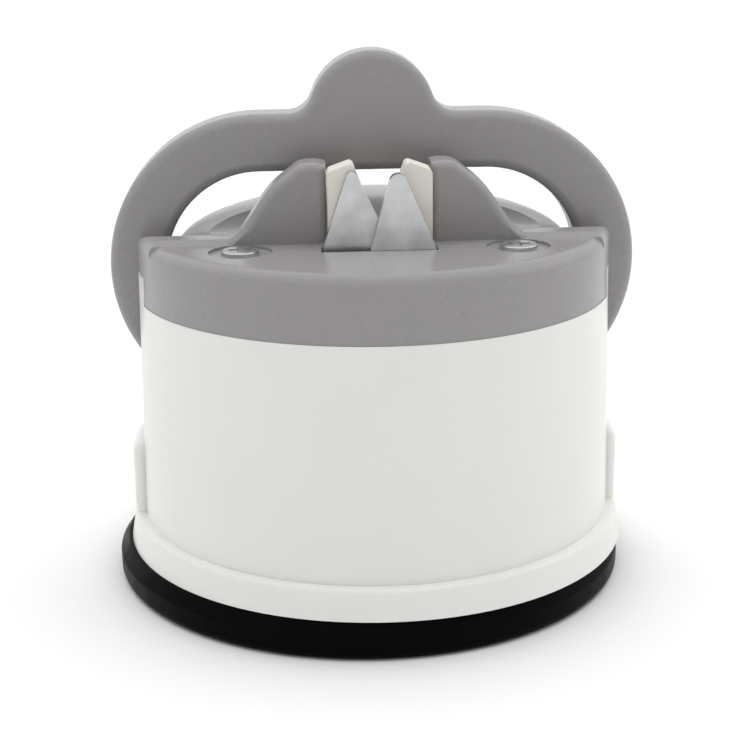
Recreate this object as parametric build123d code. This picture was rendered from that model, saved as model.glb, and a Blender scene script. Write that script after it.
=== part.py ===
"""Suction cup knife sharpener, sizes in millimetres.

The origin is the centre of the rubber foot on the worktop. +Z is up, the blades face -Y and the
lever stands in the XZ plane. It hinges about a line along X and folds back towards +Y.
"""
import os
from math import asin, cos, degrees, pi, sin, sqrt

from build123d import *

# Clearances
run_gap = 0.05
fit_gap = 0.2
swing_gap = 0.45
seam_gap = 0.12
joint_gap = 0.06
play_gap = 0.3

# Wall thicknesses
shell_wall = 1.8
cap_wall = 1.6
liner_wall = 1.4
roof_wall = 1.8
hub_wall = 1.5
floor_thick = 2.0

# Shares of a whole
half_share = 1 / 2
bevel_share = 1 / 4
cross_share = 0.62
cross_width_share = 0.16
cam_toe_share = 0.62
bearing_share = 0.6

# Rubber cup
rim_radius = 31.0
rim_band = 10.0
rim_inner = rim_radius - rim_band
rim_height = 4.4
rim_round = 1.6
rim_skirt = 0.9
bead_width = 1.8
bead_outer = rim_radius - rim_round - rim_round
bead_inner = bead_outer - bead_width
bead_height = 1.8
membrane_low = 1.2
membrane_rise = 1.5
membrane_thick = 1.4
lift = 3.0

# Base housing
flange_lip = 0.6
flange_low = rim_radius - flange_lip
flange_high = flange_low - flange_lip
flange_height = 3.5
flange_top = rim_height + flange_height
flange_round = 0.5
floor_under = flange_top - seam_gap
floor_top = floor_under + floor_thick
shelf_inset = 1.2
shelf_radius = rim_radius - shelf_inset
shelf_rise = 9.1
shelf_top = flange_top + shelf_rise
shelf_round = 1.6

# Body
wall_inset = 2.9
wall_draft = 0.55
front_radius = rim_radius - wall_inset
notch_depth = 4.7
rear_radius = front_radius - notch_depth
notch_back = -4.5
wall_corner = 1.2
shelf_corner = 1.4
body_rise = 21.1
shell_top = shelf_top + body_rise
apron_height = 3.6
apron_bottom = shell_top - apron_height
apron_half_angle = 73.0
neck_step = 1.5
neck_wall = 1.5
neck_drop = 7.1
neck_bottom = shell_top - neck_drop
neck_rise = 1.9
neck_top = shell_top + neck_rise

# Top cap
cap_rise = 4.2
ledge_top = shell_top + cap_rise
lip_round = 1.5
shoulder_step = 0.55
shoulder_top = ledge_top + shoulder_step
shoulder_ramp = 1.0
shoulder_round = 3.4
hump_front = notch_back - 6.5
hump_depth = 4.8
hump_foot = 16.9
hump_height = 8.55
hump_top = shoulder_top + hump_height
hump_round = 1.0
hump_lean = 0.3
hump_shares = [(0.0, 0.0), (0.17, 0.15), (0.36, 0.47), (0.555, 0.735), (0.75, 0.91), (1.0, 1.0)]
hump_dip = 0.25
crown_rise = 2.9
crown_top = ledge_top + crown_rise
crown_drop = 5.4
crown_flat = 5.5
crown_reach = rear_radius - crown_flat
crown_rim = 6.4
crown_hollow = rear_radius - crown_rim
crown_roof = 3.0
crown_start = 3.0
crown_run = 10.5

# Slot in the hump for the wings of the blade holder
wing_half = 5.85
wing_shift = 0.15
slot_gap = 0.06
slot_half = wing_half + slot_gap
slot_round = 0.9
crest_land = 1.3
hump_crest = slot_half + crest_land

# Lever
lever_thick = 6.0
ring_outer = 17.85
ring_width = 6.7
ring_inner = ring_outer - ring_width
ring_round = 1.1
ring_side_gap = 1.05
arc_offset = rear_radius + ring_side_gap - ring_inner
arc_drop = 4.3
arc_height = ledge_top - arc_drop
pivot_height = arc_height - (ring_outer + ring_inner) * half_share
tab_radius = 7.4
tab_rise = 7.1
tab_top = arc_height + ring_outer + tab_rise
tab_fillet_share = 0.51
tab_fillet = (arc_offset - tab_radius) * tab_fillet_share
journal_radius = 3.0

# Pocket in the body for the lever's lower corners
pocket_depth = 9.4
pocket_start = rear_radius - pocket_depth
pocket_small = 5.3
pocket_large = 11.3
journal_end = pocket_start - liner_wall

# Cam
cam_half = 3.2
cam_base = 3.6
cam_steps = 8

# Bearings
bearing_far = journal_end - play_gap
bearing_near = bearing_far * bearing_share
bearing_half = 8.4
bearing_arch = 5.2
bearing_ear = 2.6
bearing_edge = 2.1
bearing_screw_y = bearing_half - bearing_edge

# Stem
stem_radius = 3.0
disc_radius = 8.0
disc_thick = 1.4
fork_half_width = 3.4
fork_inner = 7.4
fork_thick = 2.0
fork_base_thick = 2.4
fork_base_top = pivot_height - cam_base - lift - play_gap
fork_base_low = fork_base_top - fork_base_thick
pin_radius = 1.5
pin_end = 1.6
pin_height = pivot_height + cam_base + pin_radius + run_gap
fork_over = 2.3
fork_tip = pin_height + fork_over
clip_radius = 2.4
clip_thick = 0.6

# Hub and spring
bush_wall = 1.0
bush_flange = 1.2
bush_flange_thick = 0.6
hub_inner = 6.4
hub_top = fork_base_low - bush_flange_thick - play_gap
wire_radius = 0.4
spring_radius = 4.9
spring_turns = 3.0
washer_thick = 0.5

# Blade holder and blades, with tips given as heights above the ledge
wing_step = 2.1
wing_front = hump_front - wing_step
wing_depth = 3.5
wing_back = wing_front + wing_depth
wing_outer = 8.4
wing_peak_x = 3.0
wing_peak = 9.4
wing_valley_x = 0.5
wing_valley = 2.4
wing_round = 0.5
holder_half = 9.6
holder_back = wing_back + wing_round + wing_round
holder_height = 6.1
holder_top = ledge_top - roof_wall
holder_bottom = holder_top - holder_height
blade_thick = 1.1
blade_gap = 0.12
blade_depth = 5.9
blade_bottom = ledge_top - blade_depth
left_base = (-6.37, 1.45)
left_tip = (-3.13, 9.58)
left_round = 0.6
right_base = (-1.11, 6.28)
right_tip = (1.82, 10.38)
right_round = 0.95
blade_slot_gap = 0.15
blade_front = wing_front - blade_gap - blade_thick - blade_gap - blade_thick
holder_seat = blade_front - seam_gap
clamp_thick = 1.6
clamp_half = 9.4
clamp_inset = 0.2
clamp_screw_x = 8.1
clamp_screw_z = (holder_bottom + holder_top) * half_share

# Screws
cap_screw_x = 15.5
cap_screw_inset = 6.9
cap_screw_y = -sqrt((front_radius - cap_screw_inset) ** 2 - cap_screw_x ** 2)
recess_radius = 3.6
recess_depth = 0.3
recess_floor = ledge_top - recess_depth
cap_head_radius = 2.1
cap_head_height = 0.55
cap_shank = 1.1
cap_shank_length = 9.0
cross_depth = 0.4
small_cross_depth = 0.5
post_radius = 3.0
post_rib = 2.0
small_head_radius = 1.6
small_head_height = 0.9
small_shank = 0.8
small_shank_length = 6.0
clamp_shank_length = 4.5
base_head_radius = 2.2
base_head_height = 1.4
base_shank = 1.1
base_shank_length = 9.0
base_screw_inset = 5.0
base_screw_y = rear_radius - base_screw_inset


def rod(radius, low, high, x=0, y=0):
    """Upright cylinder between two heights."""
    return Pos(x, y, low) * Cylinder(radius, high - low, align=(Align.CENTER, Align.CENTER, Align.MIN))


def rod_x(radius, left, right, y=0, z=0):
    """Cylinder along X between two positions."""
    shape = Cylinder(radius, right - left, align=(Align.CENTER, Align.CENTER, Align.MIN))
    return Pos(left, y, z) * Rot(0, 90, 0) * shape


def rod_y(radius, front, back, x=0, z=0):
    """Cylinder along Y between two positions."""
    shape = Cylinder(radius, back - front, align=(Align.CENTER, Align.CENTER, Align.MIN))
    return Pos(x, front, z) * Rot(-90, 0, 0) * shape


def block(x_range, y_range, z_range):
    """Box between two positions along each axis."""
    size = [high - low for low, high in (x_range, y_range, z_range)]
    middle = [(high + low) * half_share for low, high in (x_range, y_range, z_range)]
    return Pos(*middle) * Box(*size)


def turned(points):
    """Solid of revolution about Z from (radius, height) points."""
    return revolve(make_face(Polyline(*[(r, 0, z) for r, z in points], close=True)), Axis.Z)


def plate_xz(edges, front, back):
    """Plate from a closed outline in the XZ plane, between two positions along Y."""
    return extrude(make_face(edges), back - front, dir=(0, 1, 0)).moved(Location((0, front, 0)))


def plate_yz(edges, left, right):
    """Plate from a closed outline in the YZ plane, between two positions along X."""
    return extrude(make_face(edges), right - left, dir=(1, 0, 0)).moved(Location((left, 0, 0)))


def save(name, shape):
    """Write one node."""
    export_step(shape, f"parts/{name}.step")


def front_plan(radius, back, low, high):
    """Front part of the body's plan: a round, cut flat at the notch."""
    reach = radius + radius
    return rod(radius, low, high) & block((-reach, reach), (-reach, back), (low, high))


def segment(radius, back, corner, low, high, side=-1):
    """Round block cut flat along Y = back, with rounded corners; side gives the part that is kept."""
    reach = radius + radius
    keep = Pos(0, back + side * reach * half_share) * Rectangle(reach, reach)
    outline = Circle(radius) & keep
    outline = fillet(outline.vertices(), corner)
    return Pos(0, 0, low) * extrude(outline, high - low)


def at_height(shape, height):
    """Edges of a shape that lie wholly at one height."""
    return [edge for edge in shape.edges() if abs(edge.bounding_box().min.Z - height) < run_gap
            and abs(edge.bounding_box().max.Z - height) < run_gap]


def body_plan(inset, low, high):
    """Whole plan of the body, inset all round: wide in front, narrower behind and clear of the lever."""
    wide = front_plan(front_radius - inset, notch_back - inset, low, high)
    return wide + (rod(rear_radius - inset, low, high) & lever_sweep(inset))


def lever_sweep(inset):
    """Upright round space about the hinge that the lever's top bar passes over."""
    reach = arc_height - pivot_height + ring_inner - swing_gap - inset
    return rod_x(reach, -front_radius, front_radius, z=pivot_height)


def swing_side(x):
    """Block on one side of the body behind the notch, from a distance outwards."""
    far = front_radius + shell_wall
    return block((x, far) if x > 0 else (-far, x), (notch_back, far), (shelf_top, ledge_top))


def pocket(grow, start):
    """Cone shaped space on both sides in which the lever's lower corners turn."""
    far = rear_radius + shell_wall
    small = pocket_small + grow
    edges = Polyline((start, 0), (start, small), (far, pocket_large + grow), (far, 0), close=True)
    right = revolve(make_face(edges), Axis.X)
    right = right + block((start, far), (-small, small), (shelf_top - pivot_height, 0))
    right = right.moved(Location((0, 0, pivot_height))) & swing_side(start)
    return right + mirror(right, Plane.YZ)


def screw_posts():
    """Places of the body's three screw posts, with the direction of each post's rib."""
    return [(-cap_screw_x, cap_screw_y), (cap_screw_x, cap_screw_y), (0, base_screw_y)]


def post_with_rib(x, y, low, high, wall_radius):
    """Screw post joined to the round wall by a rib."""
    distance = sqrt(x * x + y * y)
    rib = Pos((distance + wall_radius) * half_share, 0, low) * Box(
        wall_radius - distance, post_rib, high - low, align=(Align.CENTER, Align.CENTER, Align.MIN))
    angle = degrees(pi * half_share) if x == 0 else degrees(asin(y / distance))
    angle = angle if x >= 0 else degrees(pi) - angle
    return rod(post_radius, low, high, x, y) + Rot(0, 0, angle) * rib


def suction_rim():
    """Rubber foot ring with a bead that sits in the base."""
    return turned([(rim_inner, membrane_low), (rim_inner + rim_skirt, 0), (rim_radius - rim_skirt, 0),
                   (rim_radius, rim_skirt), (rim_radius, rim_height - rim_round),
                   (rim_radius - rim_round * half_share, rim_height), (bead_outer, rim_height),
                   (bead_outer, rim_height + bead_height), (bead_inner, rim_height + bead_height),
                   (bead_inner, rim_height), (rim_inner, rim_height)])


def suction_membrane():
    """Rubber middle of the cup, from the ring up to the stem's disc."""
    high = membrane_low + membrane_rise
    return turned([(disc_radius, high), (rim_inner, membrane_low), (rim_inner, membrane_low + membrane_thick),
                   (disc_radius, high + membrane_thick)])


def base_housing():
    """White base: flange, floor, hub, bearing pedestals and the raised rear shelf."""
    flange = turned([(rim_inner, rim_height), (flange_low, rim_height), (flange_high, flange_top),
                     (rim_inner, flange_top)])
    outside = [edge for edge in at_height(flange, flange_top) if edge.radius > rim_inner + flange_lip]
    flange = fillet(outside, flange_round)
    inset = shell_wall + fit_gap
    floor = front_plan(front_radius - inset, notch_back - inset, floor_under, floor_top)
    floor = floor + rod(rear_radius - inset, floor_under, floor_top)
    hub = rod(hub_inner + hub_wall, floor_top - floor_thick, hub_top)
    raised = segment(shelf_radius, notch_back + seam_gap, shelf_corner, rim_height, shelf_top, side=1)
    raised = fillet(at_height(raised, shelf_top), shelf_round)
    reach = shelf_radius + shelf_radius
    hollow = rod(shelf_radius - shell_wall, rim_height, shelf_top - shell_wall) - rod(
        rear_radius + shell_wall, rim_height, shelf_top)
    hollow = hollow & block((-reach, reach), (notch_back + shell_wall + shell_wall, reach),
                            (rim_height, shelf_top))
    opening = rod(rear_radius - shell_wall, floor_top, shelf_top + flange_top)
    shelf = raised - hollow - opening
    bridge_far = rear_radius - shell_wall + fit_gap
    bridge_y = (notch_back + seam_gap, pocket_small + liner_wall)
    bridge_z = (floor_under, shelf_top)
    left_bridge = block((-bridge_far, -bearing_far - fit_gap), bridge_y, bridge_z)
    body = flange + floor + hub + shelf + left_bridge + mirror(left_bridge, Plane.YZ)
    body = body + rod(base_head_radius + shell_wall, floor_under, hub_top, 0, base_screw_y)
    body = body - rod(rim_inner, 0, floor_under)
    tongue_y = (fit_gap - pocket_small, pocket_small - fit_gap)
    tongue = block((pocket_start - liner_wall, pocket_start), tongue_y, (shelf_top, pivot_height))
    tongue = tongue - rod_x(pocket_small - fit_gap, -front_radius, front_radius, z=pivot_height)
    body = body + tongue + mirror(tongue, Plane.YZ)
    pedestal = block((bearing_near, bearing_far), (-bearing_half, bearing_half), (floor_top, pivot_height))
    body = body + pedestal + mirror(pedestal, Plane.YZ)
    body = body - turned([(bead_inner - seam_gap, rim_height), (bead_outer + seam_gap, rim_height),
                          (bead_outer + seam_gap, rim_height + bead_height + seam_gap),
                          (bead_inner - seam_gap, rim_height + bead_height + seam_gap)])
    body = body - rod(hub_inner, floor_under - floor_thick, hub_top - hub_wall)
    body = body - rod(stem_radius + run_gap + bush_wall, floor_under, hub_top + fit_gap)
    body = body - rod_x(journal_radius + run_gap, -bearing_far, bearing_far, z=pivot_height)
    for side in (-1, 1):
        x = side * (bearing_near + bearing_far) * half_share
        for y in (-bearing_screw_y, bearing_screw_y):
            body = body - rod(small_shank, pivot_height - small_shank_length, pivot_height, x, y)
    for (x, y), seat in zip(screw_posts(), base_seats()):
        body = body - rod(base_shank, seat, seat + base_shank_length, x, y)
        body = body - rod(base_head_radius + seam_gap, rim_height, seat, x, y)
    return body


def base_seats():
    """Heights at which the heads of the three base screws bear."""
    front = rim_height + base_head_height + seam_gap
    rear = floor_under + base_head_height + seam_gap
    return [front, front, rear]


def body_shell():
    """White body: wall, neck for the cap, pocket liners and screw posts."""
    taper = Pos(0, 0, flange_top) * Cone(front_radius + wall_draft, front_radius, shell_top - flange_top,
                                         align=(Align.CENTER, Align.CENTER, Align.MIN))
    wide = taper & segment(front_radius + wall_draft, notch_back, wall_corner, flange_top, shell_top)
    outer = wide + (rod(rear_radius, flange_top, shell_top) & lever_sweep(0))
    low_rear = block((-shelf_radius, shelf_radius), (notch_back, shelf_radius), (0, shelf_top))
    inner = body_plan(shell_wall, 0, shell_top + shell_top)
    wall = outer - inner
    neck_outer = body_plan(neck_step, neck_bottom, neck_top)
    bore = body_plan(neck_step + neck_wall, 0, shell_top + shell_top)
    neck = neck_outer - bore
    reach = front_radius + wall_draft
    seat = outer - bore & block((-reach, reach), (-reach, reach), (neck_bottom, shell_top))
    body = wall + seat + neck
    for x, y in screw_posts()[:2]:
        body = body + post_with_rib(x, y, floor_top, neck_top, front_radius - shell_wall + fit_gap)
    x, y = screw_posts()[-1]
    body = body + post_with_rib(x, y, hub_top, neck_bottom, rear_radius - shell_wall * half_share)
    body = body - apron_band(joint_gap)
    liner = pocket(liner_wall, pocket_start - liner_wall) & body_plan(0, shelf_top, shell_top)
    body = body + liner - low_rear - pocket(0, pocket_start)
    body = body - rod_x(pocket_small, -front_radius, front_radius, z=pivot_height)
    slot = (-pocket_small, pocket_small)
    body = body - block((-front_radius, front_radius), slot, (0, pivot_height))
    for (x, y), seat_height in zip(screw_posts(), base_seats()):
        body = body - rod(base_shank, 0, seat_height + base_shank_length, x, y)
    for x, y in screw_posts()[:2]:
        body = body - rod(cap_shank, recess_floor - cap_shank_length, ledge_top, x, y)
    return body


def apron_band(grow):
    """Curved band in front that the cap's apron fills, or the wider space cut for it."""
    low = apron_bottom - grow
    inner = front_radius - neck_step + fit_gap - grow
    band = rod(front_radius + grow, low, shell_top) - rod(inner, low, shell_top)
    turn = apron_half_angle * pi / degrees(pi)
    half = front_radius * sin(turn) + grow
    reach = front_radius + shell_wall
    return band & block((-half, half), (-reach, grow - front_radius * cos(turn)), (low, shell_top))


def across(edges):
    """Solid from a closed outline in the YZ plane, as wide as the body."""
    return plate_yz(edges, -front_radius, front_radius)


def quarter(centre, start, end):
    """Quarter of a circle between two points about a centre."""
    half_way = sqrt(half_share)
    middle = tuple(c + (s - c + e - c) * half_way for c, s, e in zip(centre, start, end))
    return ThreePointArc(start, middle, end)


def round_block(radius, rounding, low, high):
    """Upright round block with a rounded upper edge."""
    centre = (radius - rounding, 0, high - rounding)
    side = Polyline((0, 0, high), (0, 0, low), (radius, 0, low), (radius, 0, high - rounding))
    arc = quarter(centre, (radius, 0, high - rounding), (radius - rounding, 0, high))
    top = Line((radius - rounding, 0, high), (0, 0, high))
    return revolve(make_face([side, arc, top]), Axis.Z)


def crown():
    """Rear dome of the cap: a flat oval curve turned about Z, rounded down in front."""
    centre = rear_radius - crown_reach
    rim = crown_top - crown_drop
    side = Polyline((0, 0, crown_top), (0, 0, shell_top), (rear_radius, 0, shell_top), (rear_radius, 0, rim))
    curve = Plane.XZ * EllipticalCenterArc((centre, rim), crown_reach, crown_drop, arc_size=90)
    top = Line((centre, 0, crown_top), (0, 0, crown_top))
    dome = revolve(make_face([side, curve, top]), Axis.Z)
    front = notch_back - crown_start
    high = crown_top + cap_wall
    base = shell_top - cap_wall
    back = (0, front + crown_run, crown_top)
    low = Polyline((0, front, shoulder_top), (0, front, base), (0, front_radius, base),
                   (0, front_radius, high), (0, front + crown_run, high), back)
    rise = Spline((0, front, shoulder_top), back, tangents=[(0, 1, 0), (0, 1, 0)])
    return dome & (across([low, rise]) & lever_sweep(0))


def hump():
    """Hump behind the blades: a broad bell outline with rounded front edges."""
    wide = hump_foot - hump_crest
    curve = Spline(*[(-hump_foot + wide * across_share, 0, shoulder_top + hump_height * up_share)
                     for across_share, up_share in hump_shares], tangents=[(1, 0, hump_lean), (1, 0, 0)])
    low = shoulder_top - cap_wall
    base = Polyline((-hump_foot, 0, shoulder_top), (-hump_foot, 0, low), (hump_foot, 0, low),
                    (hump_foot, 0, shoulder_top))
    edge = slot_half - wing_shift
    bend = Spline((-hump_crest, 0, hump_top), (-edge, 0, hump_top - hump_dip),
                  tangents=[(1, 0, 0), (1, 0, -hump_lean)])
    top = Line((-edge, 0, hump_top - hump_dip), (edge, 0, hump_top - hump_dip))
    shape = plate_xz([curve, bend, top, mirror(bend, Plane.YZ), mirror(curve, Plane.YZ), base],
                     hump_front, hump_front + hump_depth)
    edges = [edge for edge in shape.edges() if edge.center().Z > shoulder_top + hump_round
             and abs(edge.center().Y - hump_front - hump_depth * half_share) > hump_round]
    shape = fillet(edges, hump_round)
    back = hump_front + hump_depth
    shape = shape - slot_space(hump_front - lip_round, back + lip_round, low)
    for side in (-1, 1):
        shape = shape - corner_cut(wing_shift + side * slot_half, side, low)
    return shape


def corner_cut(edge, side, low):
    """Space outside a rounded front corner of the hump, beside the slot."""
    high = hump_top + hump_height
    span = sorted((edge, edge + side * slot_round))
    space = block(span, (hump_front - lip_round, hump_front + slot_round), (low, high))
    return space - rod(slot_round, low, high, edge + side * slot_round, hump_front + slot_round)


def slot_space(front, back, low):
    """Space of the wings' slot, from one height upwards."""
    slot = (wing_shift - slot_half, wing_shift + slot_half)
    return block(slot, (front, back), (low, hump_top + hump_height))


def top_cap():
    """Grey cap: apron, ledge, shoulders, hump and rear dome, hollow below."""
    reach = front_radius + front_radius
    ledge = round_block(front_radius, lip_round, shell_top, ledge_top)
    ledge = ledge & block((-reach, reach), (-reach, hump_front), (0, reach))
    back = notch_back - shoulder_round
    outline = Polyline((0, notch_back, shoulder_top - shoulder_round), (0, notch_back, shell_top),
                       (0, hump_front, shell_top), (0, hump_front, ledge_top),
                       (0, hump_front + shoulder_ramp, shoulder_top), (0, back, shoulder_top))
    bend = quarter((0, back, shoulder_top - shoulder_round), (0, back, shoulder_top),
                   (0, notch_back, shoulder_top - shoulder_round))
    shoulder = round_block(front_radius, lip_round, shell_top, shoulder_top) & across([outline, bend])
    shoulder = shoulder & segment(front_radius, notch_back, wall_corner, shell_top, shoulder_top)
    body = ledge + shoulder + crown() + apron_band(0) + hump()
    inset = neck_step - fit_gap
    body = body - body_plan(inset, shell_top - shell_top, ledge_top - roof_wall)
    hollow = rod(crown_hollow, shell_top, crown_top - crown_roof)
    hollow = hollow & block((-reach, reach), (notch_back, reach), (0, reach)) & lever_sweep(cap_wall)
    body = body - hollow
    for side in (-1, 1):
        x = side * cap_screw_x
        body = body + rod(recess_radius, neck_top, recess_floor, x, cap_screw_y)
        body = body - rod(recess_radius, recess_floor, reach, x, cap_screw_y)
        body = body - rod(cap_shank + seam_gap, 0, reach, x, cap_screw_y)
    blades = block((left_base[0] - blade_slot_gap, right_base[1] + blade_slot_gap),
                   (blade_front - blade_slot_gap, wing_front), (holder_bottom, reach))
    wings = slot_space(wing_front - seam_gap, wing_back + seam_gap, holder_bottom)
    passage = slot_space(hump_front - lip_round, hump_front + hump_depth, shoulder_top)
    return body - blades - wings - passage


def blade(base, tip, rounding, front):
    """Upright blade with a slanted, rounded upper part and a straight tail in the holder."""
    tip_x, tip_rise = tip
    left, right = base
    outline = Polygon((left, ledge_top), (left, blade_bottom), (right, blade_bottom), (right, ledge_top),
                      (tip_x, ledge_top + tip_rise), align=None)
    outline = fillet(outline.vertices().sort_by(Axis.Y)[-1], rounding)
    return Pos(0, front + blade_thick, 0) * extrude(Plane.XZ * outline, blade_thick, dir=(0, -1, 0))


def blade_left():
    """Rear blade."""
    return blade(left_base, left_tip, left_round, wing_front - blade_gap - blade_thick)


def blade_right():
    """Front blade."""
    return blade(right_base, right_tip, right_round, blade_front)


def blade_holder():
    """Cream holder: block under the cap, recessed for the blades, with the two wings of the V."""
    body = block((-holder_half, holder_half), (holder_seat, holder_back), (holder_bottom, holder_top))
    body = body - block((left_base[0] - blade_slot_gap, right_base[1] + blade_slot_gap),
                        (holder_seat, wing_front), (blade_bottom, holder_top))
    outer = ledge_top + wing_outer
    peak = ledge_top + wing_peak
    valley = ledge_top + wing_valley
    right = [(wing_half, holder_top), (wing_half, outer), (wing_peak_x, peak), (wing_valley_x, valley)]
    left = [(-x, z) for x, z in reversed(right)]
    wing = Polygon(*right, *left, align=None)
    tips = [v for v in wing.vertices() if v.Y > outer - wing_round]
    wing = Pos(wing_shift, 0) * fillet(tips, wing_round)
    body = body + Pos(0, wing_back, 0) * extrude(Plane.XZ * wing, wing_back - wing_front, dir=(0, -1, 0))
    for side in (-1, 1):
        body = body - rod_y(small_shank, holder_seat, holder_seat + clamp_shank_length,
                            side * clamp_screw_x, clamp_screw_z)
    return body


def clamp_plate():
    """Plate in front of the blades."""
    front = holder_seat - clamp_thick
    heights = (holder_bottom + clamp_inset, holder_top - clamp_inset)
    body = block((-clamp_half, clamp_half), (front, holder_seat), heights)
    for side in (-1, 1):
        body = body - rod_y(small_shank, front, holder_seat, side * clamp_screw_x, clamp_screw_z)
    return body


def cross_screw(head, head_height, shank, length, deep=cross_depth):
    """Cross-head screw along -Z with the underside of its head at the origin."""
    body = rod(head, 0, head_height)
    body = chamfer(body.edges().sort_by(Axis.Z)[-1], head_height * bevel_share) + rod(shank, -length, 0)
    reach = head * cross_share
    width = head * cross_width_share
    for size in ((reach, width), (width, reach)):
        body = body - block((-size[0], size[0]), (-size[1], size[1]), (head_height - deep, head_height))
    return body


def small_screw(length):
    """Small cross-head screw."""
    return cross_screw(small_head_radius, small_head_height, small_shank, length, small_cross_depth)


def cap_screws():
    """Two screws in the ledge."""
    screw = cross_screw(cap_head_radius, cap_head_height, cap_shank, cap_shank_length)
    return Compound([Pos(side * cap_screw_x, cap_screw_y, recess_floor) * screw for side in (-1, 1)])


def clamp_screws():
    """Two screws through the clamp plate."""
    screw = Rot(90, 0, 0) * small_screw(clamp_shank_length)
    front = holder_seat - clamp_thick
    return Compound([Pos(side * clamp_screw_x, front, clamp_screw_z) * screw for side in (-1, 1)])


def base_screws():
    """Three screws up into the body."""
    screw = Rot(180, 0, 0) * cross_screw(base_head_radius, base_head_height, base_shank, base_shank_length)
    return Compound([Pos(x, y, seat) * screw for (x, y), seat in zip(screw_posts(), base_seats())])


def bearing_screws():
    """Four screws of the bearing caps."""
    screw = small_screw(small_shank_length)
    middle = (bearing_near + bearing_far) * half_share
    seat = pivot_height + bearing_ear
    return Compound([Pos(x, y, seat) * screw for x in (-middle, middle)
                     for y in (-bearing_screw_y, bearing_screw_y)])


def bearing_cap(side):
    """Cap over one journal: an arch with two screw ears."""
    span = sorted((side * bearing_near, side * bearing_far))
    body = block(span, (-bearing_half, bearing_half), (pivot_height, pivot_height + bearing_ear))
    body = body + (rod_x(bearing_arch, *span, z=pivot_height)
                   & block(span, (-bearing_arch, bearing_arch), (pivot_height, pivot_height + bearing_arch)))
    body = body - rod_x(journal_radius + run_gap, *span, z=pivot_height)
    x = (span[0] + span[1]) * half_share
    for y in (-bearing_screw_y, bearing_screw_y):
        body = body - rod(small_shank, pivot_height, pivot_height + bearing_arch, x, y)
        body = body - rod(small_head_radius + seam_gap, pivot_height + bearing_ear, ledge_top, x, y)
    return body


def cam():
    """Cam on the lever's bar that lifts the pin evenly as the lever folds back."""
    rate = lift / (pi * half_share)
    steps = range(cam_steps + 1)
    turns = [pi * half_share * step / cam_steps for step in steps]
    points = []
    for turn in turns:
        reach = cam_base + rate * turn
        points.append((0, -reach * sin(turn) - rate * cos(turn), reach * cos(turn) - rate * sin(turn)))
    back = Polyline(points[-1], (0, -cam_base * cam_toe_share, -cam_base * cam_toe_share), (0, 0, -cam_base))
    heel = quarter((0, 0, 0), (0, 0, -cam_base), (0, cam_base, 0))
    crown_arc = quarter((0, 0, 0), (0, cam_base, 0), (0, 0, cam_base))
    flat = Line((0, 0, cam_base), points[0])
    shape = plate_yz([Spline(*points), back, heel, crown_arc, flat], -cam_half, cam_half)
    return shape.moved(Location((0, 0, pivot_height)))


def lever():
    """Oval ring with a thumb tab; its lower bar is turned down to journals with a cam between them."""
    outer = SlotCenterToCenter(arc_offset + arc_offset, ring_outer + ring_outer)
    tab = Pos(0, tab_top - tab_radius - arc_height) * Circle(tab_radius)
    outline = outer + tab
    corners = [v for v in outline.vertices() if abs(v.X) < tab_radius + ring_round and v.Y > ring_inner
               and abs(v.Y - ring_outer) < ring_round]
    outline = fillet(corners, tab_fillet)
    outline = outline - SlotCenterToCenter(arc_offset + arc_offset, ring_inner + ring_inner)
    ring = extrude(Plane.XZ * outline, lever_thick * half_share, both=True)
    edges = [edge for edge in ring.edges() if abs(abs(edge.center().Y) - lever_thick * half_share) < seam_gap]
    ring = fillet(edges, ring_round)
    ring = ring.moved(Location((0, 0, arc_height)))
    ring = ring - block((-journal_end, journal_end), (-lever_thick, lever_thick),
                        (0, pivot_height + journal_radius + journal_radius))
    ring = ring + rod_x(journal_radius, -journal_end, journal_end, z=pivot_height)
    return ring + cam()


def stem_core():
    """Disc in the middle of the cup with the stem and the fork round the lever's bar."""
    low = membrane_low + membrane_rise
    body = rod(disc_radius, low, low + disc_thick) + rod(stem_radius, low, fork_base_top)
    outer = fork_inner + fork_thick
    body = body + block((-fork_half_width, fork_half_width), (-outer, outer), (fork_base_low, fork_base_top))
    for side in (-1, 1):
        span = sorted((side * fork_inner, side * outer))
        body = body + block((-fork_half_width, fork_half_width), span, (fork_base_low, fork_tip))
    return body - rod_y(pin_radius, -outer, outer, z=pin_height)


def cross_pin():
    """Steel pin across the fork."""
    reach = fork_inner + fork_thick + pin_end
    return rod_y(pin_radius, -reach, reach, z=pin_height)


def pin_clips():
    """Two clips that keep the pin in the fork."""
    outer = fork_inner + fork_thick
    clips = []
    for side in (-1, 1):
        front, back = sorted((side * outer, side * (outer + clip_thick)))
        ring = rod_y(clip_radius, front, back, z=pin_height)
        clips.append(ring - rod_y(pin_radius, front, back, z=pin_height))
    return Compound(clips)


def spring_low():
    """Height of the spring's lower end, on the stem's disc."""
    return membrane_low + membrane_rise + disc_thick


def spring_high():
    """Height of the spring's upper end, under the washer."""
    return hub_top - hub_wall - washer_thick


def return_spring():
    """Coil spring round the stem, one unbroken wire."""
    height = spring_high() - spring_low() - wire_radius - wire_radius
    pitch = height / spring_turns
    print("spring: least gap between turns", round(pitch - wire_radius - wire_radius, 2), "mm")
    path = Helix(pitch, height, spring_radius)
    start = Plane(origin=path @ 0, z_dir=path % 0)
    wire = sweep(start * Circle(wire_radius), path=path, is_frenet=True)
    return wire.moved(Location((0, 0, spring_low() + wire_radius)))


def spring_washer():
    """Washer between the spring and the hub."""
    low = spring_high()
    return rod(hub_inner - fit_gap, low, low + washer_thick) - rod(
        stem_radius + bush_wall + fit_gap, low, low + washer_thick)


def stem_bush():
    """Flanged bush in which the stem slides."""
    body = rod(stem_radius + run_gap + bush_wall, hub_top - hub_wall, hub_top)
    body = body + rod(stem_radius + bush_wall + bush_flange, hub_top, hub_top + bush_flange_thick)
    return body - rod(stem_radius + run_gap, 0, ledge_top)


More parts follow.
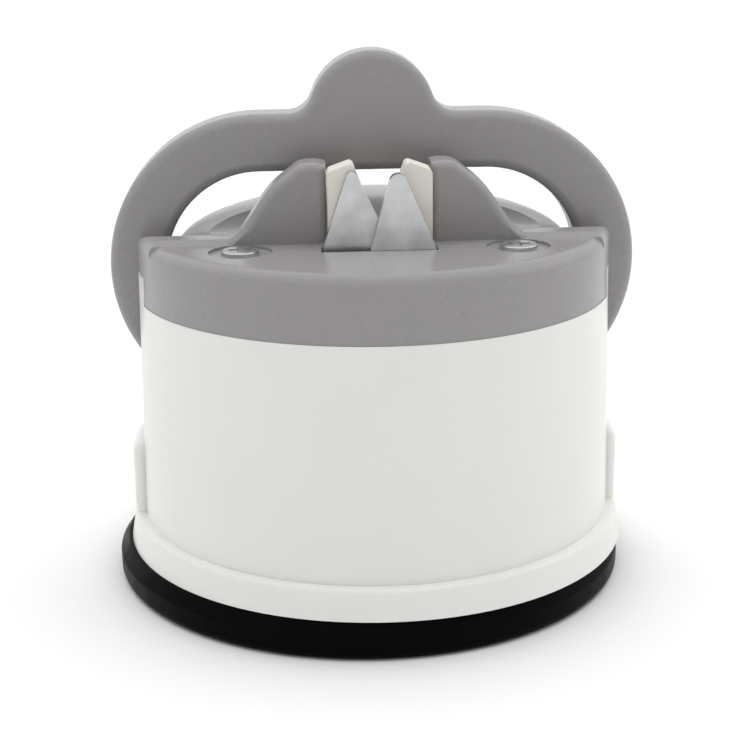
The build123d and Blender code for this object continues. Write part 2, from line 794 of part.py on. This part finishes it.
def build():
    """Write every node."""
    save("suction_rim", suction_rim())
    save("suction_membrane", suction_membrane())
    save("stem_core", stem_core())
    save("cross_pin", cross_pin())
    save("pin_clips", pin_clips())
    save("return_spring", return_spring())
    save("spring_washer", spring_washer())
    save("stem_bush", stem_bush())
    save("base_housing", base_housing())
    save("base_screws", base_screws())
    save("body_shell", body_shell())
    save("top_cap", top_cap())
    save("cap_screws", cap_screws())
    save("blade_holder", blade_holder())
    save("blade_left", blade_left())
    save("blade_right", blade_right())
    save("clamp_plate", clamp_plate())
    save("clamp_screws", clamp_screws())
    save("lever", lever())
    save("bearing_cap_left", bearing_cap(-1))
    save("bearing_cap_right", bearing_cap(1))
    save("bearing_screws", bearing_screws())


os.makedirs("parts", exist_ok=True)
build()
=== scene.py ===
"""Suction cup knife sharpener: looks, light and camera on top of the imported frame.

Lengths are millimetres inside the dataclasses and become metres where a mesh or a light is made.
"""
import logging
import math
from dataclasses import dataclass, field
from enum import Enum

import bmesh
import bpy
from mathutils import Euler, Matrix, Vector


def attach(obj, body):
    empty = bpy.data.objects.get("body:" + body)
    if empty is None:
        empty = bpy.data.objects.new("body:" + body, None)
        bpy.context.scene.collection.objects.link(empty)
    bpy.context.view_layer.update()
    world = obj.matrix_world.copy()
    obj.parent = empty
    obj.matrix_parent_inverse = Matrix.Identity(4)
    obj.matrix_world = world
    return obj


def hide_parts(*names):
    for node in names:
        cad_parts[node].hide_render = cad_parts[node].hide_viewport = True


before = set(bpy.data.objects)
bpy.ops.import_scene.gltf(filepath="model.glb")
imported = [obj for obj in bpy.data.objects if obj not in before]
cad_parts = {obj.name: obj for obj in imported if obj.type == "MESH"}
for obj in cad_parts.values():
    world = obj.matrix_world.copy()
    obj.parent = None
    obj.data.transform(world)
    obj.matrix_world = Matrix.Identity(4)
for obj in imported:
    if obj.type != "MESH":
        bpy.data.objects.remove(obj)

logging.basicConfig(level=logging.INFO, format="%(levelname)s %(name)s: %(message)s")
log = logging.getLogger("sharpener")

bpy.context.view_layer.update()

MM = 0.001
WHITE = (1, 1, 1, 1)
WELD = 1e-7
Point = tuple[float, float]
Triple = tuple[float, float, float]


class Slot(Enum):
    """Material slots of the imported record."""

    RUBBER = "black_rubber"
    WHITE = "white_plastic"
    GREY = "grey_plastic"
    CREAM = "cream_plastic"
    BLADE = "blade_metal"
    STEEL = "steel"


def linear(code: str) -> tuple[float, float, float, float]:
    """Turn an sRGB hex code into a linear colour.

    Args:
        code: Six hex digits.

    Returns:
        Red, green, blue and an alpha of one.
    """
    parts = [int(code[i:i + 2], 16) / 255 for i in (0, 2, 4)]
    turned = [p / 12.92 if p <= 0.04045 else ((p + 0.055) / 1.055) ** 2.4 for p in parts]
    return (*turned, 1.0)


class Graph:
    """Node tree with one small way to add and link nodes."""

    def __init__(self, tree: bpy.types.NodeTree) -> None:
        """Take a tree to work on.

        Args:
            tree: Node tree of a material or a world.
        """
        self.tree = tree

    def add(self, kind: str, settings: dict | None = None, inputs: dict | None = None) -> bpy.types.Node:
        """Add one node.

        Args:
            kind: Blender's node type.
            settings: Attributes set on the node.
            inputs: Socket values, or output sockets to link.

        Returns:
            The new node.
        """
        node = self.tree.nodes.new(kind)
        for key, value in (settings or {}).items():
            setattr(node, key, value)
        self.feed(node, inputs or {})
        return node

    def feed(self, node: bpy.types.Node, inputs: dict) -> None:
        """Set or link a node's inputs.

        Args:
            node: The node to feed.
            inputs: Socket values, or output sockets to link.
        """
        for key, value in inputs.items():
            if isinstance(value, bpy.types.NodeSocket):
                self.tree.links.new(value, node.inputs[key])
            else:
                node.inputs[key].default_value = value

    def between(self, factor: bpy.types.NodeSocket, low: float, high: float, start: float = 0.3,
                end: float = 0.7) -> bpy.types.NodeSocket:
        """Map a factor onto a range.

        Args:
            factor: Output socket to map.
            low: Value at the start.
            high: Value at the end.
            start: Factor that gives the low value.
            end: Factor that gives the high value.

        Returns:
            The mapped output.
        """
        node = self.add("ShaderNodeMapRange", inputs={
            "Value": factor, "From Min": start, "From Max": end, "To Min": low, "To Max": high})
        return node.outputs["Result"]


class Shader(Graph):
    """Node material of one finish."""

    def __init__(self, name: str) -> None:
        """Make an empty material with its surface shader.

        Args:
            name: Name of the real material and process.
        """
        self.material = bpy.data.materials.new(name)
        self.material.use_nodes = True
        super().__init__(self.material.node_tree)
        self.surface = self.tree.nodes["Principled BSDF"]

    def noise(self, size_mm: float, detail: float, stretch: Triple = (1, 1, 1)) -> bpy.types.NodeSocket:
        """Add object-space noise of a real size.

        Args:
            size_mm: Size of one blotch or grain in millimetres.
            detail: Octaves of finer grain.
            stretch: Scale along each axis.

        Returns:
            The noise node's factor output.
        """
        place = self.add("ShaderNodeTexCoord")
        mapped = self.add("ShaderNodeMapping", inputs={"Vector": place.outputs["Object"], "Scale": stretch})
        node = self.add("ShaderNodeTexNoise", inputs={
            "Vector": mapped.outputs["Vector"], "Scale": 1 / (size_mm * MM), "Detail": detail})
        return node.outputs["Fac"]

    def tinted(self, factor: bpy.types.NodeSocket, dark: str, light: str, start: float = 0.3,
               end: float = 0.7) -> bpy.types.NodeSocket:
        """Blend two colours by a factor.

        Args:
            factor: Output socket from zero to one.
            dark: Hex colour at the start.
            light: Hex colour at the end.
            start: Position of the dark colour.
            end: Position of the light colour.

        Returns:
            The colour output.
        """
        node = self.add("ShaderNodeValToRGB", inputs={"Fac": factor})
        for element, position, code in zip(node.color_ramp.elements, (start, end), (dark, light)):
            element.position = position
            element.color = linear(code)
        return node.outputs["Color"]

    def bump(self, factor: bpy.types.NodeSocket, height_mm: float,
             under: bpy.types.NodeSocket | None = None) -> bpy.types.NodeSocket:
        """Add a bump of a real height.

        Args:
            factor: Output socket that shapes the surface.
            height_mm: Height of the relief in millimetres.
            under: Normal output of an earlier bump.

        Returns:
            The bump's normal output.
        """
        node = self.add("ShaderNodeBump", inputs={
            "Height": factor, "Strength": 1.0, "Distance": height_mm * MM})
        if under is not None:
            self.feed(node, {"Normal": under})
        return node.outputs["Normal"]


@dataclass(frozen=True)
class MouldedPlastic:
    """Injection moulded plastic: even colour, slight mould grain and faint handling marks."""

    name: str
    dark: str
    light: str
    roughness: Point
    tint_mm: float = 9.0
    wear_mm: float = 5.0
    detail: float = 2.0
    # Slow unevenness that the mould's shrinkage leaves
    wave_mm: float = 7.0
    wave_detail: float = 1.0
    wave_height_mm: float = 0.002
    # Fine mould grain, drawn a little coarser than real so that it shows
    grain_mm: float = 0.5
    grain_height_mm: float = 0.0006
    ior: float = 1.53

    def build(self) -> bpy.types.Material:
        """Make the material.

        Returns:
            The finished material.
        """
        shader = Shader(self.name)
        colour = shader.tinted(shader.noise(self.tint_mm, self.detail), self.dark, self.light, 0.0, 1.0)
        wear = shader.between(shader.noise(self.wear_mm, self.detail), *self.roughness, 0.0, 1.0)
        wave = shader.bump(shader.noise(self.wave_mm, self.wave_detail), self.wave_height_mm)
        grain = shader.bump(shader.noise(self.grain_mm, self.detail), self.grain_height_mm, wave)
        shader.feed(shader.surface, {
            "Base Color": colour, "Roughness": wear, "Normal": grain, "IOR": self.ior})
        return shader.material


@dataclass(frozen=True)
class MouldedRubber:
    """Black moulded rubber: deep, soft sheen with a little dust."""

    name: str
    dark: str
    light: str
    roughness: Point
    dust_mm: float = 6.0
    dust_share: Point = (0.35, 0.75)
    wear_mm: float = 2.5
    detail: float = 5.0
    grain_mm: float = 0.35
    grain_detail: float = 3.0
    grain_height_mm: float = 0.002
    ior: float = 1.3
    sheen: float = 0.1

    def build(self) -> bpy.types.Material:
        """Make the material.

        Returns:
            The finished material.
        """
        shader = Shader(self.name)
        dust = shader.noise(self.dust_mm, self.detail)
        rough = shader.between(shader.noise(self.wear_mm, self.detail), *self.roughness)
        relief = shader.bump(shader.noise(self.grain_mm, self.grain_detail), self.grain_height_mm)
        shader.feed(shader.surface, {
            "Base Color": shader.tinted(dust, self.dark, self.light, *self.dust_share), "Roughness": rough,
            "Normal": relief, "IOR": self.ior, "Specular IOR Level": self.sheen})
        return shader.material


@dataclass(frozen=True)
class GroundMetal:
    """Ground metal: fine scratches along one direction."""

    name: str
    dark: str
    light: str
    roughness: Point
    stretch: Triple = (1, 1, 12)
    scratch_mm: float = 0.9
    scratch_detail: float = 5.0
    scratch_height_mm: float = 0.002
    tint_mm: float = 2.4
    tint_detail: float = 4.0

    def build(self) -> bpy.types.Material:
        """Make the material.

        Returns:
            The finished material.
        """
        shader = Shader(self.name)
        lines = shader.noise(self.scratch_mm, self.scratch_detail, self.stretch)
        colour = shader.tinted(shader.noise(self.tint_mm, self.tint_detail), self.dark, self.light)
        rough = shader.between(lines, *self.roughness)
        relief = shader.bump(lines, self.scratch_height_mm)
        shader.feed(shader.surface, {
            "Base Color": colour, "Roughness": rough, "Normal": relief, "Metallic": 1.0})
        return shader.material


@dataclass(frozen=True)
class StudioBoard:
    """Matt painted board for the floor: one even pale tone."""

    name: str
    tone: str
    roughness: float

    def build(self) -> bpy.types.Material:
        """Make the material.

        Returns:
            The finished material.
        """
        shader = Shader(self.name)
        shader.feed(shader.surface, {"Base Color": linear(self.tone), "Roughness": self.roughness})
        return shader.material


@dataclass(frozen=True)
class Finishes:
    """Every finish of the object, by the record's slot."""

    by_slot: dict[Slot, bpy.types.Material]

    @classmethod
    def build(cls) -> "Finishes":
        """Make all finishes.

        Returns:
            The finishes.
        """
        return cls({
            # Warm off-white shell with an even soft gloss
            Slot.WHITE: MouldedPlastic(
                "moulded ABS, warm white gloss", "ecebe7", "f0efeb", (0.24, 0.28)).build(),
            # Mid grey lever and cap, of nearly the same gloss
            Slot.GREY: MouldedPlastic(
                "moulded ABS, mid grey satin gloss", "949292", "979494", (0.25, 0.29)).build(),
            # Cream holder behind the blades, a little duller
            Slot.CREAM: MouldedPlastic(
                "moulded nylon, cream satin", "f0ede2", "f4f1e7", (0.34, 0.40)).build(),
            # Deep black cup that barely mirrors the room
            Slot.RUBBER: MouldedRubber(
                "moulded rubber, black soft sheen", "010101", "030303", (0.34, 0.5)).build(),
            # Light grey blades with upright grinding lines
            Slot.BLADE: GroundMetal(
                "sintered carbide, satin ground", "b6b7b8", "cacbcc", (0.26, 0.36)).build(),
            # Bright screws, speckled all over
            Slot.STEEL: GroundMetal(
                "steel screw, zinc plated", "bfc0c2", "d2d3d4", (0.26, 0.42), (1, 1, 1), 0.4).build(),
        })

    def dress(self, slot: Slot, *nodes: str) -> None:
        """Give CAD pieces their finish; their shape stays.

        Args:
            slot: Slot that names the finish.
            nodes: Names of the CAD nodes.
        """
        for node in nodes:
            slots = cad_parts[node].data.materials
            slots.clear()
            slots.append(self.by_slot[slot])
            log.info("%s: %s", node, self.by_slot[slot].name)


def arc(centre: Point, radius: float, start: float, end: float, steps: int) -> list[Point]:
    """Points along a circular arc.

    Args:
        centre: Middle of the arc.
        radius: Radius.
        start: First angle in degrees.
        end: Last angle in degrees.
        steps: Number of segments.

    Returns:
        The points, ends included.
    """
    angles = [math.radians(start + (end - start) * i / steps) for i in range(steps + 1)]
    return [(centre[0] + radius * math.cos(a), centre[1] + radius * math.sin(a)) for a in angles]


@dataclass
class Turning:
    """Ring turned about an upright line, in millimetres."""

    name: str
    # (radius, height) points of the section, which ends where it starts
    profile: list[Point]
    steps: int
    centre: Point = (0, 0)
    # Edges that turn by more than this many degrees stay sharp
    sharp: float = 40
    # How much the large faces count in the shading
    even: int = 60
    mesh: bmesh.types.BMesh = field(default_factory=bmesh.new)

    def surface(self) -> None:
        """Make the rows of vertices round the axis and the faces between them."""
        rows = [[self.mesh.verts.new((x * MM, y * MM, height * MM))
                 for x, y in arc(self.centre, radius, 0, 360, self.steps)[:-1]]
                for radius, height in self.profile]
        for first, second in zip(rows, rows[1:]):
            for i in range(self.steps):
                k = (i + 1) % self.steps
                self.mesh.faces.new((first[i], first[k], second[k], second[i]))
        bmesh.ops.remove_doubles(self.mesh, verts=self.mesh.verts, dist=WELD)
        bmesh.ops.recalc_face_normals(self.mesh, faces=self.mesh.faces)

    def build(self, finishes: Finishes, slot: Slot, node: str) -> None:
        """Turn the mesh into an object that stands for a CAD node of the base.

        Args:
            finishes: Finishes of the object.
            slot: Slot that names the finish.
            node: CAD node that the ring stands for.
        """
        self.surface()
        data = bpy.data.meshes.new(self.name)
        self.mesh.to_mesh(data)
        self.mesh.free()
        data.shade_smooth()
        data.set_sharp_from_angle(angle=math.radians(self.sharp))
        data.materials.append(finishes.by_slot[slot])
        made = bpy.data.objects.new(self.name, data)
        bpy.context.scene.collection.objects.link(made)
        weigh = made.modifiers.new("even shading", "WEIGHTED_NORMAL")
        weigh.keep_sharp = True
        weigh.weight = self.even
        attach(made, "base")
        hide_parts(node)
        log.info("%s: %d faces, in place of %s", self.name, len(data.polygons), node)


@dataclass
class Cup:
    """Rubber cup: the foot ring and the thin middle that the stem lifts."""

    finishes: Finishes
    outer: float = 31.0
    inner: float = 21.0
    top: float = 4.4
    # The photograph shows the ring pressed a little to one side
    shift: float = -0.9
    # Sealing lip inside the foot: (distance out from the inner edge, height)
    lip: tuple[Point, ...] = ((0.0, 1.2), (0.5, 0.5), (1.4, 0.05), (2.2, 0.0))
    foot_round: float = 1.1
    foot_flat: float = 0.1
    # Chamfer between the wall and the top, with both of its edges rounded
    chamfer_round: float = 0.5
    chamfer_turn: float = 50
    chamfer_drop: float = 1.7
    chamfer_reach: float = 1.3
    # Collar that reaches up into the housing
    seat: float = 28.6
    collar_outer: float = 27.8
    collar_inner: float = 26.0
    collar_top: float = 6.2
    # Middle, from its edge inwards along the underside, then outwards along the top: (radius, height)
    under: tuple[Point, ...] = ((20.9, 1.25), (19.5, 1.3), (15.0, 1.75), (11.0, 2.3), (8.1, 2.72))
    over: tuple[Point, ...] = ((8.1, 4.05), (11.0, 3.6), (15.0, 3.05), (19.5, 2.65), (20.9, 2.6))
    # Segments round the two rings, and of the foot's and the chamfer's roundings
    rim_steps: int = 256
    middle_steps: int = 160
    foot_steps: int = 8
    lower_steps: int = 6
    upper_steps: int = 5

    def rim(self) -> None:
        """Build the foot ring, with a sealing lip below and a chamfered upper edge."""
        profile = [(self.inner + out, height) for out, height in self.lip]
        profile += [(self.outer - self.foot_round - self.foot_flat, 0.0)]
        profile += arc((self.outer - self.foot_round, self.foot_round), self.foot_round,
                       -90, 0, self.foot_steps)
        profile += arc((self.outer - self.chamfer_round, self.top - self.chamfer_drop), self.chamfer_round,
                       0, self.chamfer_turn, self.lower_steps)
        profile += arc((self.outer - self.chamfer_reach, self.top - self.chamfer_round), self.chamfer_round,
                       self.chamfer_turn, 90, self.upper_steps)
        profile += [(self.seat, self.top), (self.collar_outer, self.top),
                    (self.collar_outer, self.collar_top), (self.collar_inner, self.collar_top),
                    (self.collar_inner, self.top), (self.inner, self.top), profile[0]]
        ring = Turning("cup_rim", profile, self.rim_steps, (self.shift, 0))
        ring.build(self.finishes, Slot.RUBBER, "suction_rim")

    def membrane(self) -> None:
        """Build the thin middle round the stem's disc."""
        profile = [*self.under, *self.over, self.under[0]]
        ring = Turning("cup_membrane", profile, self.middle_steps)
        ring.build(self.finishes, Slot.RUBBER, "suction_membrane")

    def build(self) -> None:
        """Dress the CAD pieces of the cup, which MuJoCo keeps, and build the pieces that show."""
        self.finishes.dress(Slot.RUBBER, "suction_rim", "suction_membrane")
        self.rim()
        self.membrane()


@dataclass
class Housing:
    """White shells: the base with its flange and rear shelf, and the round body screwed to it."""

    finishes: Finishes

    def build(self) -> None:
        """Dress the shells and their screws."""
        self.finishes.dress(Slot.WHITE, "base_housing", "body_shell")
        self.finishes.dress(Slot.STEEL, "base_screws")


@dataclass
class Lift:
    """Parts inside the base that pull the cup's middle up and push it down again."""

    finishes: Finishes

    def build(self) -> None:
        """Dress the stem, its pin and clips, the spring with its washer, and the bush."""
        self.finishes.dress(Slot.GREY, "stem_core")
        self.finishes.dress(Slot.STEEL, "cross_pin", "pin_clips", "return_spring", "spring_washer")
        self.finishes.dress(Slot.CREAM, "stem_bush")


@dataclass
class LeverWork:
    """Grey ring lever with the caps that hold its journals."""

    finishes: Finishes

    def build(self) -> None:
        """Dress the lever, the bearing caps and their screws."""
        self.finishes.dress(Slot.GREY, "lever")
        self.finishes.dress(Slot.WHITE, "bearing_cap_left", "bearing_cap_right")
        self.finishes.dress(Slot.STEEL, "bearing_screws")


@dataclass
class Head:
    """Grey top cap with the crossed blades in their cream holder."""

    finishes: Finishes

    def cap(self) -> None:
        """Dress the cap and its two screws."""
        self.finishes.dress(Slot.GREY, "top_cap")
        self.finishes.dress(Slot.STEEL, "cap_screws")

    def blades(self) -> None:
        """Dress the blades, their holder and what clamps them."""
        self.finishes.dress(Slot.CREAM, "blade_holder", "clamp_plate")
        self.finishes.dress(Slot.BLADE, "blade_left", "blade_right")
        self.finishes.dress(Slot.STEEL, "clamp_screws")

    def build(self) -> None:
        """Dress the whole head."""
        self.cap()
        self.blades()


@dataclass
class Studio:
    """Camera, floor, backdrop and lights."""

    focal: float = 77.12
    sensor: float = 36
    sight_m: Point = (0.01, 10)
    stand: Triple = (-10.693, -189.258, 80.031)
    pitch: float = 16.651
    yaw: float = 3.264
    roll: float = -0.639
    floor_half_m: float = 4.0
    # Brightness behind the camera and away from it, and the directions between which it changes
    front: float = 0.33
    back: float = 0.9
    turnover: Point = (-1.0, 0.15)
    # (height of the direction, brightness as a share of the ceiling) from the horizon up
    bands: tuple[Point, ...] = ((0.0, 0.305), (0.83, 0.305), (0.92, 1.0))
    ceiling: float = 3.35
    lamp_place: Triple = (360, 20, 240)
    lamp_aim: Triple = (0, 0, 30)
    lamp_side: float = 260
    lamp_watts: float = 0.1

    def camera(self) -> None:
        """Place the camera where the photo was taken from."""
        data = bpy.data.cameras.new("camera")
        data.lens = self.focal
        data.sensor_width = self.sensor
        data.clip_start, data.clip_end = self.sight_m
        made = bpy.data.objects.new("camera", data)
        bpy.context.scene.collection.objects.link(made)
        made.location = [v * MM for v in self.stand]
        turn = Euler((math.radians(90 - self.pitch), 0, math.radians(-self.yaw)), "XYZ").to_matrix()
        lean = Euler((0, 0, math.radians(self.roll)), "XYZ").to_matrix()
        made.rotation_euler = (turn @ lean).to_euler()
        bpy.context.scene.camera = made

    def floor(self) -> None:
        """Lay a wide white floor that keeps the object's shadow and fills the picture."""
        far = self.floor_half_m
        corners = ((-far, -far), (far, -far), (far, far), (-far, far))
        sheet = bmesh.new()
        sheet.faces.new([sheet.verts.new((x, y, 0)) for x, y in corners])
        data = bpy.data.meshes.new("studio floor")
        sheet.to_mesh(data)
        sheet.free()
        data.materials.append(StudioBoard("white studio floor, matt", "f1f1f1", 0.8).build())
        made = bpy.data.objects.new("studio_floor", data)
        bpy.context.scene.collection.objects.link(made)

    def lamp(self) -> None:
        """Add a weak soft lamp on the right, which rounds the right edges."""
        data = bpy.data.lights.new("side lamp", "AREA")
        data.shape = "SQUARE"
        data.size = self.lamp_side * MM
        data.energy = self.lamp_watts
        made = bpy.data.objects.new("side lamp", data)
        bpy.context.scene.collection.objects.link(made)
        made.location = [v * MM for v in self.lamp_place]
        way = Vector([v * MM for v in self.lamp_aim]) - made.location
        made.rotation_euler = way.to_track_quat("-Z", "Y").to_euler()

    def glow(self, graph: Graph) -> bpy.types.NodeSocket:
        """Work out the room's brightness from the direction.

        Args:
            graph: The world's node tree.

        Returns:
            The brightness output.
        """
        way = graph.add("ShaderNodeTexCoord")
        split = graph.add("ShaderNodeSeparateXYZ", inputs={"Vector": way.outputs["Generated"]})
        side = graph.between(split.outputs["Y"], self.front * self.ceiling, self.back * self.ceiling,
                             *self.turnover)
        ramp = graph.add("ShaderNodeValToRGB", inputs={"Fac": split.outputs["Z"]})
        points = ramp.color_ramp.elements
        while len(points) < len(self.bands):
            points.new(1.0)
        for point, (height, level) in zip(points, self.bands):
            point.position = height
            point.color = (level, level, level, 1)
        total = graph.add("ShaderNodeMath", {"operation": "MULTIPLY"}, {0: side, 1: ramp.outputs["Color"]})
        return total.outputs["Value"]

    def world(self) -> None:
        """Light the room softly, darker behind the camera, and show white to the camera and in gloss."""
        world = bpy.data.worlds.new("soft white room")
        bpy.context.scene.world = world
        world.use_nodes = True
        graph = Graph(world.node_tree)
        room = graph.tree.nodes["Background"]
        graph.feed(room, {"Color": WHITE, "Strength": self.glow(graph)})
        seen = graph.add("ShaderNodeBackground", inputs={"Color": WHITE, "Strength": 1.0})
        path = graph.add("ShaderNodeLightPath")
        sight = path.outputs["Is Camera Ray"]
        for ray in ("Is Glossy Ray", "Is Transmission Ray"):
            either = graph.add("ShaderNodeMath", {"operation": "MAXIMUM"}, {0: sight, 1: path.outputs[ray]})
            sight = either.outputs["Value"]
        mix = graph.add("ShaderNodeMixShader", inputs={0: sight, 1: room.outputs[0], 2: seen.outputs[0]})
        graph.feed(graph.tree.nodes["World Output"], {"Surface": mix.outputs[0]})

    def build(self) -> None:
        """Set the stage."""
        bpy.context.scene.view_settings.view_transform = "Standard"
        self.camera()
        self.floor()
        self.world()
        self.lamp()


def main() -> None:
    """Build the whole scene in order."""
    finishes = Finishes.build()
    for assembly in (Cup, Housing, Lift, LeverWork, Head):
        assembly(finishes).build()
    Studio().build()


if __name__ == "__main__":
    main()
